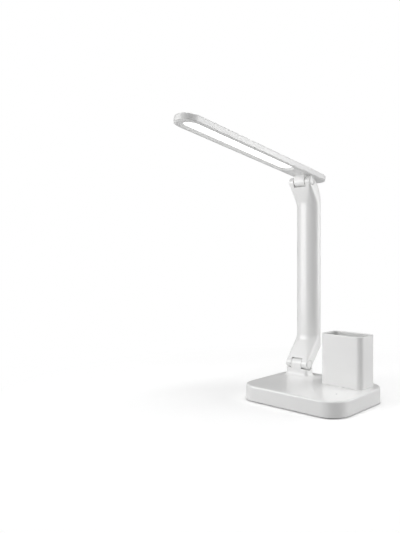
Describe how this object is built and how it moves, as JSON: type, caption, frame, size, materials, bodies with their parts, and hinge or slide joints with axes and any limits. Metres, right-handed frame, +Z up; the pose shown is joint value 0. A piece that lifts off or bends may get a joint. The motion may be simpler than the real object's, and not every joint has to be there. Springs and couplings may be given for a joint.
{
  "type": "foldable desk lamp with pen cup",
  "caption": "Foldable desk lamp: flat bar head and upright arm on friction hinges, weighted touch-control base with an open pen cup.",
  "frame": {"origin": "on the surface it stands on, under the middle of the base", "axes": "+X along the base's front edge from the arm's side to the cup's side, +Y from the front to the back, +Z up"},
  "size_m": [0.16, 0.2779, 0.3544],
  "materials": {
    "white_housing": "satin to glossy white moulding",
    "steel": "bright zinc plated",
    "weight_steel": "plain pressed plate",
    "grey_rubber": "matte",
    "conductive_foam": "soft conductive foam",
    "circuit_board": "solder-masked glass laminate",
    "black_plastic": "matte moulding",
    "washer_plastic": "natural acetal",
    "clear_lens": "tinted translucent light pipe",
    "diffuser_plastic": "opal acrylic",
    "reflector_plastic": "matte white moulding",
    "chip_phosphor": "phosphor coat",
    "lead_sheath": "soft sheath"
  },
  "bodies": {
    "base": {"base_shell": "white_housing", "base_plate": "white_housing", "anti_slip_mat": "grey_rubber", "counterweight": "weight_steel", "weight_screws": "steel", "base_screws": "steel", "control_board": "circuit_board", "board_components": "black_plastic", "board_screws": "steel", "touch_foam": "conductive_foam", "indicator_lens": "clear_lens", "power_socket": "black_plastic", "socket_pin": "steel", "supply_lead": "lead_sheath", "base_lead": "lead_sheath", "pen_cup": "white_housing", "cup_screws": "steel", "lower_hinge_pin": "steel", "lower_hinge_bush": "steel", "lower_friction_washers": "washer_plastic", "lower_spring_washer": "steel"},
    "arm": {"arm_shell": "white_housing", "arm_rear_cover": "white_housing", "arm_cover_screws": "steel", "lower_hinge_caps": "white_housing", "upper_hinge_caps": "white_housing", "arm_lead": "lead_sheath"},
    "head": {"head_shell": "white_housing", "bezel": "white_housing", "bezel_screws": "steel", "head_hinge_block": "white_housing", "hinge_block_screws": "steel", "diffuser": "diffuser_plastic", "reflector_frame": "reflector_plastic", "led_board": "circuit_board", "led_chips": "chip_phosphor", "led_plug": "black_plastic", "upper_hinge_pin": "steel", "upper_hinge_bush": "steel", "upper_friction_washers": "washer_plastic", "upper_spring_washer": "steel", "head_lead": "lead_sheath"}
  },
  "joints": [
    {"name": "arm_fold", "type": "hinge", "parent": "base", "child": "arm", "pos_m": [-0.0485, 0.034, 0.0385], "axis": [1, 0, 0], "range_deg": [-15, 88]},
    {"name": "head_fold", "type": "hinge", "parent": "arm", "child": "head", "pos_m": [-0.0485, 0.0405, 0.302], "axis": [1, 0, 0], "range_deg": [-40, 98]}
  ]
}
